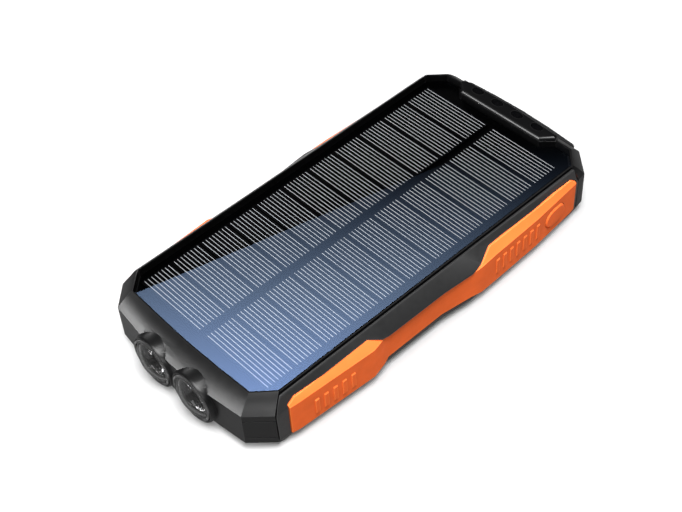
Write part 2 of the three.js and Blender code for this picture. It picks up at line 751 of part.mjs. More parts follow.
function socket(x, size, tongue) {
  const { width, height, depth, wall } = size;
  const low = SOCKET_BASE_Z;
  const back = SOCKET_FACE_Y - depth;
  const shell = box(x - width / 2, x + width / 2, back, SOCKET_FACE_Y, low, low + height);
  const room = box(
    x - width / 2 + wall, x + width / 2 - wall, back + wall, SOCKET_FACE_Y + 1,
    low + wall, low + height - wall,
  );
  const plate = box(
    x - tongue.width / 2, x + tongue.width / 2, back, SOCKET_FACE_Y - 1,
    low + tongue.low, low + tongue.low + tongue.thick,
  );
  return shell.subtract(room).add(plate);
}

// ---- socket cover -------------------------------------------------------

// Plan outline of the cover: flat behind, bowed in front.
function coverOutline(front, bow, narrower) {
  const half = COVER_HALF_WIDTH - narrower;
  return mirrored([
    [0, COVER_INNER_Y], [half, COVER_INNER_Y], [half, front - bow - 0.5],
    [half - 0.9, front - bow], [half * 0.5, front - bow * 0.3], [0, front],
  ]);
}

// The cover is thin and straight along the hinge, so that it clears the groove as it swings.
function portCover() {
  const { y, z } = COVER_AXIS;
  const outer = COVER_OUTER_Y;
  const plate = stack([
    { z, points: coverOutline(y + 1.0, 0, 0) },
    { z: z + 1, points: coverOutline(y + 1.2, 0, 0) },
    { z: z + 3.6, points: coverOutline(outer, COVER_BOW, 0) },
    { z: COVER_TOP - COVER_BEVEL, points: coverOutline(outer, COVER_BOW, 0) },
    { z: COVER_TOP, points: coverOutline(outer - COVER_BEVEL, COVER_BOW, COVER_BEVEL) },
  ]);
  const bead = pushAlongX(
    ellipsePoints(y, z, COVER_BEAD, COVER_BEAD, 20), -COVER_HALF_WIDTH, COVER_HALF_WIDTH,
  );
  return plate.add(bead);
}

// ---- assembly -----------------------------------------------------------

const charger = new THREE.Group();
charger.name = 'solar_charger';
charger.position.y = FRAME_SHIFT_Y;

function place(name, solid, look) {
  charger.add(meshFrom(name, solid, look));
}

place('lower_case', lowerCase(), 'blackPlastic');
place('panel_frame', panelFrame(), 'blackPlastic');
place('front_cap', frontCap(), 'blackPlastic');
place('far_cap', farCap(), 'blackPlastic');
place('side_rail_right', sideRail(1), 'blackRubber');
place('side_rail_left', sideRail(-1), 'blackRubber');
place('bumper_right', bumper(1), 'orangeRubber');
place('bumper_left', bumper(-1), 'orangeRubber');

place('cover_glass', coverGlass(), 'solarGlass');
place('panel_backing', backingBoard(), 'panelLaminate');
for (let row = 0; row < CELL_ROWS; row += 1) {
  const tag = String(row + 1).padStart(2, '0');
  place(`solar_cell_left_${tag}`, solarCell(row, -1), 'silicon');
  place(`solar_cell_right_${tag}`, solarCell(row, 1), 'silicon');
}

for (const [tag, side] of [['left', -1], ['right', 1]]) {
  place(`torch_lens_${tag}`, torchLens(side), 'clearLens');
  place(`torch_reflector_${tag}`, torchReflector(side), 'brightMetal');
  place(`torch_led_${tag}`, torchLed(side), 'board');
  place(`battery_${tag}`, batteryCell(side), 'batteryWrap');
}

place('main_board', mainBoard(), 'board');
place('status_board', statusBoard(), 'board');
STATUS_X.forEach((x, i) => place(`status_window_${i + 1}`, statusWindow(x), 'whiteDiffuser'));
USB_A_X.forEach((x, i) => {
  place(`usb_a_socket_${i + 1}`, socket(x, USB_A, { width: 11, low: 3.0, thick: 1.6 }), 'brightMetal');
});
place('usb_c_socket', socket(USB_C_X, USB_C, { width: 6.6, low: 1.35, thick: 0.7 }), 'brightMetal');
place('tact_switch', tactSwitch(), 'screwSteel');
place('power_button', powerButton(), 'orangeRubber');
place('port_cover', portCover(), 'blackRubber');
SCREW_SPOTS.forEach((spot, i) => place(`case_screw_${i + 1}`, caseScrew(spot), 'screwSteel'));

export default charger;
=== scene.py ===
"""Looks for the solar phone charger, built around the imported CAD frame. Lengths are in metres."""
import json
import math

import bmesh
import bpy
from mathutils import Matrix, Vector


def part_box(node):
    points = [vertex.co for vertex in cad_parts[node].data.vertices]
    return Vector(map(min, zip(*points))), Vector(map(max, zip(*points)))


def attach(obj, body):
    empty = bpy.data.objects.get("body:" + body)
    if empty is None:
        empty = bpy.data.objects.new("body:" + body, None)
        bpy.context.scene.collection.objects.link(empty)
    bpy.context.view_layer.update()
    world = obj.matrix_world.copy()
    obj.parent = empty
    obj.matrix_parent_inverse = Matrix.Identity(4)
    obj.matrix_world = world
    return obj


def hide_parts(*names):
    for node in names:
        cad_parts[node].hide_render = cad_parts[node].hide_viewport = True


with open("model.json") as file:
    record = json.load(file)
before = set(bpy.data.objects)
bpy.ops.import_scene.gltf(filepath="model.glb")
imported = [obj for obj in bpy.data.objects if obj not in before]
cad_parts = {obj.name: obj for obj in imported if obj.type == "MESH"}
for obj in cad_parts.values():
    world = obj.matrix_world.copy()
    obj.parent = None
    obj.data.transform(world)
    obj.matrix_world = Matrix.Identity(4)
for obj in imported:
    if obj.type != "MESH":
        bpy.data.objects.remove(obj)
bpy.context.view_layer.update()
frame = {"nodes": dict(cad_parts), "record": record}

MM = 0.001
MICRON = 0.001 * MM
SIDES = ("left", "right")

# ---- camera ---------------------------------------------------------------

CAMERA_PLACE = Vector((0.23970, -0.21114, 0.35314))
CAMERA_AHEAD = Vector((-0.51597, 0.43671, -0.73692)).normalized()
CAMERA_RIGHT = Vector((0.68556, 0.72633, -0.04957))
CAMERA_LENS = 70.63


def look_matrix(place, ahead, right):
    """Matrix of a camera or light at place that looks along ahead."""
    ahead = ahead.normalized()
    right = (right - ahead * right.dot(ahead)).normalized()
    up = right.cross(ahead)
    turn = Matrix((right, up, -ahead)).transposed()
    return Matrix.Translation(place) @ turn.to_4x4()


def make_camera():
    data = bpy.data.cameras.new("camera")
    data.lens = CAMERA_LENS
    data.sensor_width = 36
    data.clip_start = 0.01
    camera = bpy.data.objects.new("camera", data)
    bpy.context.scene.collection.objects.link(camera)
    camera.matrix_world = look_matrix(CAMERA_PLACE, CAMERA_AHEAD, CAMERA_RIGHT)
    bpy.context.scene.camera = camera


# ---- material helpers -----------------------------------------------------


class Surface:
    """A new material with a Principled shader, and short ways to add nodes to it."""

    def __init__(self, name, colour, rough, metal=0.0, specular=0.5):
        self.material = bpy.data.materials.new(name)
        self.material.use_nodes = True
        self.nodes = self.material.node_tree.nodes
        self.links = self.material.node_tree.links
        self.shader = self.nodes["Principled BSDF"]
        self.output = self.nodes["Material Output"]
        self.set("Base Color", (*colour, 1))
        self.set("Roughness", rough)
        self.set("Metallic", metal)
        self.set("Specular IOR Level", specular)

    def set(self, socket, value):
        self.shader.inputs[socket].default_value = value

    def add(self, kind, **settings):
        node = self.nodes.new(kind)
        for key, value in settings.items():
            setattr(node, key, value)
        return node

    def place(self, stretch=(1, 1, 1)):
        where = self.add("ShaderNodeTexCoord")
        mapping = self.add("ShaderNodeMapping")
        mapping.inputs["Scale"].default_value = stretch
        self.links.new(where.outputs["Object"], mapping.inputs["Vector"])
        return mapping.outputs["Vector"]

    def noise(self, scale, detail=3, stretch=(1, 1, 1)):
        node = self.add("ShaderNodeTexNoise")
        node.inputs["Scale"].default_value = scale
        node.inputs["Detail"].default_value = detail
        self.links.new(self.place(stretch), node.inputs["Vector"])
        return node.outputs["Fac"]

    def spread(self, factor, low, high, start=0.3, end=0.7):
        """Turns a 0 to 1 factor into a number between low and high."""
        node = self.add("ShaderNodeMapRange")
        node.inputs["From Min"].default_value = start
        node.inputs["From Max"].default_value = end
        node.inputs["To Min"].default_value = low
        node.inputs["To Max"].default_value = high
        self.links.new(factor, node.inputs["Value"])
        return node.outputs["Result"]

    def mix(self, factor, first, second):
        node = self.add("ShaderNodeMix", data_type="RGBA")
        self.links.new(factor, node.inputs["Factor"])
        for socket, value in ((node.inputs["A"], first), (node.inputs["B"], second)):
            if isinstance(value, tuple):
                socket.default_value = (*value, 1)
            else:
                self.links.new(value, socket)
        return node.outputs["Result"]

    def bump(self, factor, height, strength=1.0):
        node = self.add("ShaderNodeBump")
        node.inputs["Strength"].default_value = strength
        node.inputs["Distance"].default_value = height
        self.links.new(factor, node.inputs["Height"])
        self.links.new(node.outputs["Normal"], self.shader.inputs["Normal"])

    def edge_mask(self, radius):
        """0 on flat ground, rising to 1 along edges narrower than radius."""
        bevel = self.add("ShaderNodeBevel", samples=4)
        bevel.inputs["Radius"].default_value = radius
        flat = self.add("ShaderNodeNewGeometry")
        dot = self.add("ShaderNodeVectorMath", operation="DOT_PRODUCT")
        self.links.new(bevel.outputs["Normal"], dot.inputs[0])
        self.links.new(flat.outputs["Normal"], dot.inputs[1])
        return self.spread(dot.outputs["Value"], 1.0, 0.0, 0.90, 0.995)


def moulded_plastic(name, colour, worn, rough, grain=7000, relief=1.8 * MICRON):
    """Fine spark-eroded plastic: patchy tone, paler worn edges, a pebbled bump."""
    s = Surface(name, colour, rough)
    patches = s.spread(s.noise(90, 4), 0.0, 1.0)
    paler = tuple(c * 1.12 for c in colour)
    base = s.mix(patches, colour, paler)
    s.links.new(s.mix(s.edge_mask(0.5 * MM), base, worn), s.shader.inputs["Base Color"])
    rub = s.spread(s.noise(420, 3), rough - 0.015, rough + 0.02)
    s.links.new(rub, s.shader.inputs["Roughness"])
    s.bump(s.noise(grain, 2), relief)
    return s.material


def soft_rubber(name, colour, worn, rough, specular, sheen):
    """Satin rubber with a light dusty sheen and a very fine skin."""
    s = Surface(name, colour, rough, specular=specular)
    tone = s.spread(s.noise(140, 4), 0.0, 1.0)
    deeper = tuple(c * 0.88 for c in colour)
    base = s.mix(tone, deeper, colour)
    s.links.new(s.mix(s.edge_mask(0.4 * MM), base, worn), s.shader.inputs["Base Color"])
    s.links.new(s.spread(s.noise(700, 3), rough - 0.04, rough + 0.05), s.shader.inputs["Roughness"])
    s.set("Sheen Weight", sheen)
    s.set("Sheen Roughness", 0.5)
    s.bump(s.noise(9000, 2), 1.5 * MICRON)
    return s.material


def metal(name, colour, rough, brushed=(1, 1, 1)):
    """Metal with a patchy polish. brushed stretches its grain along one axis."""
    s = Surface(name, colour, rough, metal=1.0)
    polish = s.spread(s.noise(2500, 3, brushed), rough * 0.7, rough * 1.4)
    s.links.new(polish, s.shader.inputs["Roughness"])
    s.bump(s.noise(3500, 2, brushed), 4 * MICRON)
    return s.material


def mirror_coat():
    """Vacuum-metallised plastic: near mirror, with a slight ripple."""
    s = Surface("mirror_coat", (0.42, 0.42, 0.43), 0.1, metal=1.0)
    s.links.new(s.spread(s.noise(900, 2), 0.06, 0.14), s.shader.inputs["Roughness"])
    s.bump(s.noise(500, 2), 10 * MICRON)
    return s.material


def silicon():
    """Blue-black cell with a faint drift of tone."""
    s = Surface("silicon", (0.0006, 0.0007, 0.001), 0.4, specular=0.05)
    tone = s.spread(s.noise(35, 3), 0.0, 1.0)
    base = s.mix(tone, (0.0004, 0.0005, 0.0008), (0.0009, 0.0011, 0.0018))
    s.links.new(base, s.shader.inputs["Base Color"])
    s.bump(s.noise(6000, 2), 3 * MICRON)
    return s.material


# Refractive indices. The glass's is above that of real glass, for a stronger gloss.
GLASS_INDEX = 2.3
LENS_INDEX = 1.49


def solar_glass():
    """What lies beneath shows straight through, with a mirror gloss on the outer side alone."""
    s = Surface("solar_glass", (1, 1, 1), 0.0)
    seen = s.add("ShaderNodeBsdfTransparent")
    seen.inputs["Color"].default_value = (1, 1, 1, 1)
    gloss = s.add("ShaderNodeBsdfGlossy")
    gloss.inputs["Roughness"].default_value = 0.0
    fresnel = s.add("ShaderNodeFresnel")
    fresnel.inputs["IOR"].default_value = GLASS_INDEX
    inner = s.add("ShaderNodeNewGeometry")
    outer = s.add("ShaderNodeMath", operation="SUBTRACT")
    outer.inputs[0].default_value = 1
    s.links.new(inner.outputs["Backfacing"], outer.inputs[1])
    amount = s.add("ShaderNodeMath", operation="MULTIPLY")
    s.links.new(fresnel.outputs["Fac"], amount.inputs[0])
    s.links.new(outer.outputs["Value"], amount.inputs[1])
    blend = s.add("ShaderNodeMixShader")
    s.links.new(amount.outputs["Value"], blend.inputs["Fac"])
    s.links.new(seen.outputs["BSDF"], blend.inputs[1])
    s.links.new(gloss.outputs["BSDF"], blend.inputs[2])
    s.links.new(blend.outputs["Shader"], s.output.inputs["Surface"])
    s.nodes.remove(s.shader)
    return s.material


def clear_dome():
    """Smoky clear acrylic that bends what is seen through it."""
    s = Surface("clear_lens", (0.46, 0.46, 0.46), 0.02)
    s.set("Transmission Weight", 1.0)
    s.set("IOR", LENS_INDEX)
    s.links.new(s.spread(s.noise(600, 2), 0.0, 0.03), s.shader.inputs["Roughness"])
    return s.material


def circuit_board():
    """Green solder mask, streaked by the tracks beneath it."""
    s = Surface("board", (0.02, 0.08, 0.035), 0.45)
    tracks = s.spread(s.noise(900, 2, (1, 0.2, 1)), 0, 1)
    base = s.mix(tracks, (0.012, 0.05, 0.022), (0.025, 0.1, 0.045))
    s.links.new(base, s.shader.inputs["Base Color"])
    s.bump(s.noise(1500, 2), 20 * MICRON)
    return s.material


def laminate():
    """Black sheet behind the cells, with a barely visible drift of tone."""
    s = Surface("panel_laminate", (0.0005, 0.0005, 0.0006), 0.35, specular=0.05)
    tone = s.spread(s.noise(60, 3), 0.0, 1.0)
    base = s.mix(tone, (0.0003, 0.0003, 0.0004), (0.0007, 0.0008, 0.001))
    s.links.new(base, s.shader.inputs["Base Color"])
    s.bump(s.noise(4000, 2), 2 * MICRON)
    return s.material


def smoked_window():
    """Glossy near-black plastic over the status lights."""
    s = Surface("smoked_window", (0.003, 0.003, 0.0034), 0.12)
    tone = s.spread(s.noise(900, 2), 0, 1)
    base = s.mix(tone, (0.002, 0.002, 0.0023), (0.004, 0.004, 0.0046))
    s.links.new(base, s.shader.inputs["Base Color"])
    s.links.new(s.spread(s.noise(700, 3), 0.1, 0.16), s.shader.inputs["Roughness"])
    s.bump(s.noise(2500, 2), MICRON)
    return s.material


# One material for each of the record's slots.
MATERIALS = {
    "black_plastic": moulded_plastic(
        "black_plastic", (0.0045, 0.0045, 0.0048), (0.02, 0.02, 0.0205), 0.33),
    "black_rubber": soft_rubber(
        "black_rubber", (0.020, 0.020, 0.0205), (0.05, 0.05, 0.051), 0.38, 0.45, 0.04),
    "orange_rubber": soft_rubber(
        "orange_rubber", (0.88, 0.142, 0.024), (0.98, 0.26, 0.06), 0.5, 0.15, 0.0),
    "panel_laminate": laminate(),
    "silicon": silicon(),
    "solar_glass": solar_glass(),
    "clear_lens": clear_dome(),
    "board": circuit_board(),
    "bright_metal": metal("bright_metal", (0.62, 0.62, 0.63), 0.2),
    "screw_steel": metal("screw_steel", (0.35, 0.36, 0.38), 0.32, (1, 8, 1)),
    "battery_wrap": metal("battery_wrap", (0.42, 0.45, 0.48), 0.4),
    "white_diffuser": smoked_window(),
}
# Materials of the pieces made here.
FINGER_METAL = moulded_plastic(
    "silver_paste", (0.70, 0.74, 0.78), (0.76, 0.80, 0.84), 0.5, 5000, 2 * MICRON)
REFLECTOR_METAL = mirror_coat()
RING_PLASTIC = moulded_plastic("ring_plastic", (0.035, 0.035, 0.036), (0.09, 0.09, 0.09), 0.3)
LED_YELLOW = moulded_plastic("led_phosphor", (0.75, 0.55, 0.08), (0.8, 0.65, 0.2), 0.5)

# ---- modifiers that round the CAD nodes -----------------------------------

SHARP_ANGLE = math.radians(35)
ROUNDED_ANGLE = math.radians(24)
WELD_DISTANCE = 5 * MICRON
EDGE_SEGMENTS = 2
FLAT_FACE_WEIGHT = 90


def smooth_by_angle():
    """Node group for a modifier: smooth faces, with edges over SHARP_ANGLE kept sharp."""
    group = bpy.data.node_groups.new("smooth_by_angle", "GeometryNodeTree")
    group.interface.new_socket("Geometry", in_out="INPUT", socket_type="NodeSocketGeometry")
    group.interface.new_socket("Geometry", in_out="OUTPUT", socket_type="NodeSocketGeometry")
    start = group.nodes.new("NodeGroupInput")
    end = group.nodes.new("NodeGroupOutput")
    faces = group.nodes.new("GeometryNodeSetShadeSmooth")
    edges = group.nodes.new("GeometryNodeSetShadeSmooth")
    edges.domain = "EDGE"
    edges.inputs["Shade Smooth"].default_value = False
    angle = group.nodes.new("GeometryNodeInputMeshEdgeAngle")
    sharp = group.nodes.new("ShaderNodeMath")
    sharp.operation = "GREATER_THAN"
    sharp.inputs[1].default_value = SHARP_ANGLE
    group.links.new(start.outputs[0], faces.inputs["Geometry"])
    group.links.new(faces.outputs["Geometry"], edges.inputs["Geometry"])
    group.links.new(angle.outputs["Unsigned Angle"], sharp.inputs[0])
    group.links.new(sharp.outputs[0], edges.inputs["Selection"])
    group.links.new(edges.outputs["Geometry"], end.inputs[0])
    return group


SMOOTH = smooth_by_angle()


def soften(obj, width):
    """Rounds the edges of a CAD node and shades it smooth, with its flat faces left flat."""
    weld = obj.modifiers.new("weld", "WELD")
    weld.merge_threshold = WELD_DISTANCE
    bevel = obj.modifiers.new("round_edges", "BEVEL")
    bevel.width = width
    bevel.segments = EDGE_SEGMENTS
    bevel.limit_method = "ANGLE"
    bevel.angle_limit = ROUNDED_ANGLE
    obj.modifiers.new("smooth", "NODES").node_group = SMOOTH
    level = obj.modifiers.new("level_faces", "WEIGHTED_NORMAL")
    level.weight = FLAT_FACE_WEIGHT
    level.keep_sharp = True


# Edge roundings in millimetres.
EDGE_WIDTHS = {
    "front_cap": 0.45, "far_cap": 0.35, "panel_frame": 0.12, "lower_case": 0.35,
    "side_rail_right": 0.4, "side_rail_left": 0.4, "bumper_right": 0.25, "bumper_left": 0.25,
    "port_cover": 0.25, "power_button": 0.2,
}


def dress_cad():
    """Gives each CAD node the material of its slot, and rounds those in EDGE_WIDTHS."""
    slots = {part["node"]: part["material_slot"] for part in frame["record"]["subparts"]}
    for name, obj in frame["nodes"].items():
        obj.data.materials.clear()
        obj.data.materials.append(MATERIALS[slots[name]])
        if name in EDGE_WIDTHS:
            soften(obj, EDGE_WIDTHS[name] * MM)


# ---- pieces made here -----------------------------------------------------


def piece_from(name, mesh_maker, material, body):
    """A new piece that rides on a body. mesh_maker fills the mesh."""
    data = bpy.data.meshes.new(name)
    bm = bmesh.new()
    mesh_maker(bm)
    bmesh.ops.recalc_face_normals(bm, faces=bm.faces)
    bm.to_mesh(data)
    bm.free()
    data.materials.append(material)
    obj = bpy.data.objects.new(name, data)
    bpy.context.scene.collection.objects.link(obj)
    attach(obj, body)
    return obj


def lathe(bm, profile, centre, steps, closed, grooves=()):
    """Turns (radius, y) points round the Y line through centre (x, z).

    grooves holds (profile index, depth): two of every four points of that ring are set back."""
    set_back = dict(grooves)
    rings = []
    for k, (radius, y) in enumerate(profile):
        if radius == 0:
            rings.append([bm.verts.new((centre[0], y, centre[1]))])
            continue
        ring = []
        for i in range(steps):
            angle = 2 * math.pi * i / steps
            x = centre[0] + radius * math.cos(angle)
            z = centre[1] + radius * math.sin(angle)
            depth = set_back.get(k, 0) * (i // 2 % 2)
            ring.append(bm.verts.new((x, y + depth, z)))
        rings.append(ring)
    pairs = list(zip(rings, rings[1:]))
    if closed:
        pairs.append((rings[-1], rings[0]))
    for a, b in pairs:
        for i in range(steps):
            j = (i + 1) % steps
            corners = [a[i % len(a)], a[j % len(a)], b[j % len(b)], b[i % len(b)]]
            corners = list(dict.fromkeys(corners))
            if len(corners) > 2:
                bm.faces.new(corners)


def round_box(node):
    """Front, back, centre (x, z) and radius of a round CAD node that points along Y."""
    low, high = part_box(node)
    centre = ((low.x + high.x) / 2, (low.z + high.z) / 2)
    return low.y, high.y, centre, (high.x - low.x) / 2


def shade_smooth(obj):
    for face in obj.data.polygons:
        face.use_smooth = True


LENS_STEPS = 96
LENS_EDGE = 1.5 * MM
LENS_WALL = 0.9 * MM
LENS_BEVEL = 0.2 * MM
FLANGE_STEP = 0.4 * MM
HOLLOW_MARGIN = 0.3 * MM
DOME_STEPS = 14
RING_WIDTH = 0.9 * MM
RING_GROOVES = 76
RING_CLEARANCE = 0.02 * MM
RING_CORNER = 0.1 * MM
RING_SHOULDER = 0.3 * MM
RING_CROWN = 0.45 * MM
RING_SLOPE = 0.15 * MM
GROOVE_DEPTH = 0.5 * MM
GROOVE_END_DEPTH = 0.45 * MM


def make_lens(side):
    """Flanged clear dome, hollow behind, and the grooved ring in front of its flange."""
    node = f"torch_lens_{side}"
    front, back, centre, radius = round_box(node)
    rim = back - LENS_EDGE
    flange = rim + FLANGE_STEP
    inner = radius - RING_WIDTH
    hollow = inner - HOLLOW_MARGIN
    tip = front + LENS_WALL
    profile = [(0, tip)]
    for i in range(1, DOME_STEPS + 1):
        share = i / DOME_STEPS
        profile.append((hollow * share, tip + (back - tip) * share * share))
    profile += [
        (radius - LENS_BEVEL, back), (radius, back - LENS_BEVEL), (radius, flange), (inner, flange),
    ]
    for i in range(DOME_STEPS):
        share = 1 - i / DOME_STEPS
        profile.append((inner * share, rim - (rim - front) * (1 - share * share)))
    profile.append((0, front))
    lens = piece_from(
        f"lens_{side}", lambda bm: lathe(bm, profile, centre, LENS_STEPS, False),
        MATERIALS["clear_lens"], "charger",
    )
    shade_smooth(lens)
    lens.modifiers.new("smooth", "NODES").node_group = SMOOTH
    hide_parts(node)
    make_lens_ring(side, centre, radius, inner, rim, flange)


def make_lens_ring(side, centre, radius, inner, rim, flange):
    """Ring in front of the lens's flange, with its front edge grooved for grip."""
    outside = radius - RING_CLEARANCE
    inside = inner + 2 * RING_CLEARANCE
    foot = flange - RING_CLEARANCE
    profile = [
        (outside, foot), (outside, rim - RING_CORNER), (outside - RING_CORNER, rim - RING_SHOULDER),
        (inner + RING_SLOPE, rim - RING_CROWN), (inside, rim - RING_SHOULDER), (inside, foot),
    ]
    grooves = [(1, GROOVE_END_DEPTH), (2, GROOVE_DEPTH), (3, GROOVE_DEPTH), (4, GROOVE_END_DEPTH)]
    piece_from(
        f"lens_ring_{side}",
        lambda bm: lathe(bm, profile, centre, 4 * RING_GROOVES, True, grooves),
        RING_PLASTIC, "charger",
    )


REFLECTOR_FACETS = 36
REFLECTOR_DEPTH = 7.4 * MM
REFLECTOR_GAP = 0.1 * MM
LIP_HEIGHT = 0.5 * MM
MOUTH_SHARE = 0.95
THROAT_SHARE = 0.26
BACK_SHARE = 0.44


def make_reflector(side):
    """Cone of long flat mirror facets, just behind the lens, and the light chip in it."""
    node = f"torch_reflector_{side}"
    front, back, centre, radius = round_box(node)
    mouth = radius * MOUTH_SHARE
    throat = radius * THROAT_SHARE
    lip = front + REFLECTOR_GAP
    profile = [
        (radius, lip + LIP_HEIGHT), (radius, lip), (mouth, lip),
        (throat, front + REFLECTOR_DEPTH), (throat, back), (radius * BACK_SHARE, back),
    ]
    dish = piece_from(
        f"reflector_{side}",
        lambda bm: lathe(bm, profile, centre, REFLECTOR_FACETS, True),
        REFLECTOR_METAL, "charger",
    )
    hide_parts(node)
    make_led_chip(side, centre)


CHIP_STEPS = 32
CHIP_RADIUS = 1.5 * MM
CHIP_DEPTH = 1.2 * MM
CROWN_FOOT = 0.4 * MM
CROWN_STEP = 0.1 * MM


def make_led_chip(side, centre):
    """Yellow light chip with a low crown, on the tip of the torch's LED module."""
    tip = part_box(f"torch_led_{side}")[0].y
    profile = [
        (0, tip + CHIP_DEPTH), (CHIP_RADIUS, tip + CHIP_DEPTH), (CHIP_RADIUS, tip + CROWN_FOOT),
        (CHIP_RADIUS - CROWN_FOOT, tip + CROWN_STEP), (0, tip),
    ]
    chip = piece_from(
        f"led_chip_{side}", lambda bm: lathe(bm, profile, centre, CHIP_STEPS, False),
        LED_YELLOW, "charger",
    )
    shade_smooth(chip)


FINGERS_PER_CELL = 8
FINGER_STEP = 1.44 * MM
FINGER_WIDTH = 0.17 * MM
FINGER_LENGTH = 29.4 * MM
FINGER_HEIGHT = 0.05 * MM
FINGER_TAPER = 0.2
CELL_ROWS = 11


def ridge(bm, low, high):
    """One printed line: a box with its top edges drawn in, so that it is a low ridge."""
    inset = (high.y - low.y) * FINGER_TAPER
    bottom = [(low.x, low.y), (high.x, low.y), (high.x, high.y), (low.x, high.y)]
    top = [
        (low.x + inset, low.y + inset), (high.x - inset, low.y + inset),
        (high.x - inset, high.y - inset), (low.x + inset, high.y - inset),
    ]
    under = [bm.verts.new((x, y, low.z)) for x, y in bottom]
    over = [bm.verts.new((x, y, high.z)) for x, y in top]
    bm.faces.new(under[::-1])
    bm.faces.new(over)
    for i in range(4):
        j = (i + 1) % 4
        bm.faces.new((under[i], under[j], over[j], over[i]))


def make_fingers(side):
    """The printed silver lines on one column of cells, as one piece."""
    def draw(bm):
        for row in range(1, CELL_ROWS + 1):
            low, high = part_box(f"solar_cell_{side}_{row:02d}")
            middle = (low + high) / 2
            for i in range(FINGERS_PER_CELL):
                y = middle.y + (i - (FINGERS_PER_CELL - 1) / 2) * FINGER_STEP
                a = Vector((middle.x - FINGER_LENGTH / 2, y - FINGER_WIDTH / 2, high.z))
                b = Vector((middle.x + FINGER_LENGTH / 2, y + FINGER_WIDTH / 2, high.z + FINGER_HEIGHT))
                ridge(bm, a, b)
    piece_from(f"cell_fingers_{side}", draw, FINGER_METAL, "charger")


# ---- studio ---------------------------------------------------------------

FLOOR_HALF_SIZE = 6
FLOOR_DROP = 0.3 * MM
FLOOR_WHITE = (0.86, 0.86, 0.86)
FLOOR_MIRRORED = (0.22, 0.22, 0.22)
FLOOR_FADE = (0.3, 0.7)


def floor_material():
    """Matt white, open from below, fading into the white world, and dimmer in reflections."""
    s = Surface("floor", FLOOR_WHITE, 0.9, specular=0.0)
    path = s.add("ShaderNodeLightPath")
    tone = s.mix(path.outputs["Is Camera Ray"], FLOOR_MIRRORED, FLOOR_WHITE)
    s.links.new(tone, s.shader.inputs["Base Color"])
    reach = s.add("ShaderNodeVectorMath", operation="LENGTH")
    s.links.new(s.place(), reach.inputs[0])
    under = s.add("ShaderNodeNewGeometry")
    gone = s.add("ShaderNodeMath", operation="MAXIMUM")
    s.links.new(s.spread(reach.outputs["Value"], 0, 1, *FLOOR_FADE), gone.inputs[0])
    s.links.new(under.outputs["Backfacing"], gone.inputs[1])
    nothing = s.add("ShaderNodeBsdfTransparent")
    edge = s.add("ShaderNodeMixShader")
    s.links.new(gone.outputs["Value"], edge.inputs["Fac"])
    s.links.new(s.shader.outputs["BSDF"], edge.inputs[1])
    s.links.new(nothing.outputs["BSDF"], edge.inputs[2])
    s.links.new(edge.outputs["Shader"], s.output.inputs["Surface"])
    return s.material


def make_floor():
    data = bpy.data.meshes.new("floor")
    bm = bmesh.new()
    bmesh.ops.create_grid(bm, x_segments=1, y_segments=1, size=FLOOR_HALF_SIZE)
    bm.to_mesh(data)
    bm.free()
    data.materials.append(floor_material())
    floor = bpy.data.objects.new("floor", data)
    floor.location.z = -FLOOR_DROP
    bpy.context.scene.collection.objects.link(floor)
    floor.visible_diffuse = False


WORLD_LIGHT = 0.35
WORLD_SEEN = 1.0


def make_world():
    """White to look at, and a weak even light on the charger."""
    world = bpy.data.worlds.new("studio")
    bpy.context.scene.world = world
    world.use_nodes = True
    nodes, links = world.node_tree.nodes, world.node_tree.links
    back = nodes["Background"]
    back.inputs["Color"].default_value = (1, 1, 1, 1)
    path = nodes.new("ShaderNodeLightPath")
    strength = nodes.new("ShaderNodeMapRange")
    strength.inputs["To Min"].default_value = WORLD_LIGHT
    strength.inputs["To Max"].default_value = WORLD_SEEN
    links.new(path.outputs["Is Camera Ray"], strength.inputs["Value"])
    links.new(strength.outputs["Result"], back.inputs["Strength"])
    world.cycles_visibility.glossy = False
    world.cycles_visibility.transmission = False


LIGHT_TARGET = Vector((0, 0, 0.012))


def linked_group(name, members, state):
    """A collection that light linking takes in (INCLUDE) or leaves out (EXCLUDE)."""
    group = bpy.data.collections.new(name)
    for member in members:
        group.objects.link(bpy.data.objects[member])
    for entry in group.collection_objects:
        entry.light_linking.link_state = state
    return group


def link_light(light, names, state):
    """Makes a light reach just these nodes and pieces (INCLUDE), or all but these (EXCLUDE)."""
    light.light_linking.receiver_collection = linked_group(f"{light.name}_reach", names, state)


def shine_through(light, names):
    """Lets a light pass through these objects without a shadow."""
    light.light_linking.blocker_collection = linked_group(f"{light.name}_passes", names, "EXCLUDE")


def softbox(name, place, size, power, only=(), spare=()):
    """An area light aimed at the charger.

    only lists the sole parts that it reaches, and spare lists the parts that it leaves out."""
    data = bpy.data.lights.new(name, "AREA")
    data.shape = "RECTANGLE"
    data.size, data.size_y = size
    data.energy = power
    light = bpy.data.objects.new(name, data)
    bpy.context.scene.collection.objects.link(light)
    aim = LIGHT_TARGET - Vector(place)
    light.rotation_mode = "QUATERNION"
    light.rotation_quaternion = aim.to_track_quat("-Z", "Y")
    light.location = place
    if only:
        link_light(light, only, "INCLUDE")
    if spare:
        link_light(light, spare, "EXCLUDE")
    return light


# A card that the glass alone reflects. It stands square to the line of sight from the mirror
# image of the camera, and has one slanting edge. From the top of the picture down, its glow
# grows from nothing at CARD_DARK to CARD_TOP, and turns bluer over CARD_FADE.
CARD_DISTANCE = 1.5
CARD_DARK = -0.131
CARD_CORNERS = [(-0.45, 0.134), (0.182, -0.131), (0.45, -0.131), (0.45, 0.35), (-0.45, 0.35)]
CARD_GAIN = 36.0
CARD_TOP = 3.4
CARD_UPPER = (0.69, 1.0, 1.60)
CARD_LOWER = (0.56, 0.86, 1.62)
CARD_FADE = (0.04, 0.14)


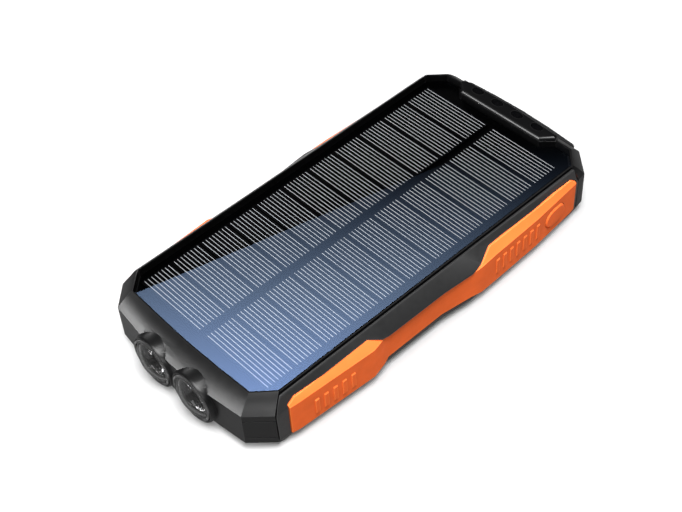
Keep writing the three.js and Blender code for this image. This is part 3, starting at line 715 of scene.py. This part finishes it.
def card_material():
    material = bpy.data.materials.new("card")
    material.use_nodes = True
    nodes, links = material.node_tree.nodes, material.node_tree.links
    nodes.remove(nodes["Principled BSDF"])
    where = nodes.new("ShaderNodeTexCoord")
    split = nodes.new("ShaderNodeSeparateXYZ")
    links.new(where.outputs["Object"], split.inputs["Vector"])
    value = split.outputs["Y"]
    steps = (
        ("SUBTRACT", CARD_DARK), ("MAXIMUM", 0), ("POWER", 2),
        ("MULTIPLY", CARD_GAIN), ("MINIMUM", CARD_TOP),
    )
    for operation, number in steps:
        step = nodes.new("ShaderNodeMath")
        step.operation = operation
        step.inputs[1].default_value = number
        links.new(value, step.inputs[0])
        value = step.outputs["Value"]
    fade = nodes.new("ShaderNodeMapRange")
    fade.inputs["From Min"].default_value = CARD_FADE[0]
    fade.inputs["From Max"].default_value = CARD_FADE[1]
    links.new(split.outputs["Y"], fade.inputs["Value"])
    tint = nodes.new("ShaderNodeMix")
    tint.data_type = "RGBA"
    tint.inputs["A"].default_value = (*CARD_UPPER, 1)
    tint.inputs["B"].default_value = (*CARD_LOWER, 1)
    links.new(fade.outputs["Result"], tint.inputs["Factor"])
    glow = nodes.new("ShaderNodeEmission")
    links.new(tint.outputs["Result"], glow.inputs["Color"])
    links.new(value, glow.inputs["Strength"])
    links.new(glow.outputs["Emission"], nodes["Material Output"].inputs["Surface"])
    return material


def make_card():
    """Stands the card where the camera sees its reflection in the glass."""
    glass_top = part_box("cover_glass")[1].z
    flip = Vector((1, 1, -1))
    eye = CAMERA_PLACE * flip + Vector((0, 0, 2 * glass_top))
    ahead = CAMERA_AHEAD * flip
    right = CAMERA_RIGHT * flip
    down = CAMERA_AHEAD.cross(CAMERA_RIGHT) * flip
    turn = Matrix((right, down, right.cross(down))).transposed()
    data = bpy.data.meshes.new("reflection_card")
    data.from_pydata([(u, v, 0) for u, v in CARD_CORNERS], [], [list(range(len(CARD_CORNERS)))])
    data.materials.append(card_material())
    card = bpy.data.objects.new("reflection_card", data)
    bpy.context.scene.collection.objects.link(card)
    card.matrix_world = Matrix.Translation(eye + ahead * CARD_DISTANCE) @ turn.to_4x4()
    for ray in ("camera", "diffuse", "transmission", "shadow", "volume_scatter"):
        setattr(card, f"visible_{ray}", False)
    link_light(card, ["cover_glass"], "INCLUDE")


LENSES = [f"lens_{side}" for side in SIDES]
UNDERSIDE = ["lower_case", *(f"case_screw_{i}" for i in range(1, 5))]
TOP_TINT = (1.0, 1.05, 1.35)
STREAK_PLACES = ((-0.64, -0.74, 0.21), (-0.48, -0.85, 0.21), (-0.33, -0.92, 0.21))


def light_studio():
    """Soft lights all round. Some reach a few parts only, and the glass reflects none of them."""
    softbox("overhead", (0.30, -0.20, 1.2), (0.7, 0.7), 17, spare=["cover_glass"])
    softbox("front", (-0.505, -0.835, 0.21), (0.42, 0.22), 7.2,
            spare=["cover_glass", "side_rail_left", "bumper_left", *LENSES])
    softbox("side", (0.35, -1.0, 0.30), (0.4, 0.3), 3.2,
            only=["bumper_right", "power_button", "side_rail_right"])
    top = softbox("top", (0.10, 0.0, 1.1), (0.5, 0.5), 23,
                  only=["bumper_right", "bumper_left", "power_button"])
    top.data.color = TOP_TINT
    softbox("waist", (0.60, 0.47, 0.64), (0.16, 0.16), 2.5,
            only=["side_rail_right", "side_rail_left"])
    softbox("corner", (0.63, -0.61, 0.48), (0.3, 0.2), 1.3, only=["front_cap"])
    for i, place in enumerate(STREAK_PLACES):
        softbox(f"streak_{i + 1}", place, (0.07, 0.26), 2.8, only=LENSES)
    softbox("hood", (-0.50, -0.62, 0.58), (0.35, 0.25), 2.2, only=["far_cap"])
    softbox("rim", (-0.90, 0.50, 0.32), (0.5, 0.3), 5, spare=["cover_glass", "far_cap"])
    under = softbox("under", (-0.75, 0.80, -0.78), (0.6, 0.6), 4, only=UNDERSIDE)
    shine_through(under, ["floor"])


# ---- build ----------------------------------------------------------------

make_camera()
dress_cad()
for side in SIDES:
    make_lens(side)
    make_reflector(side)
    make_fingers(side)
make_floor()
make_world()
make_card()
light_studio()
bpy.context.scene.view_settings.view_transform = "Standard"
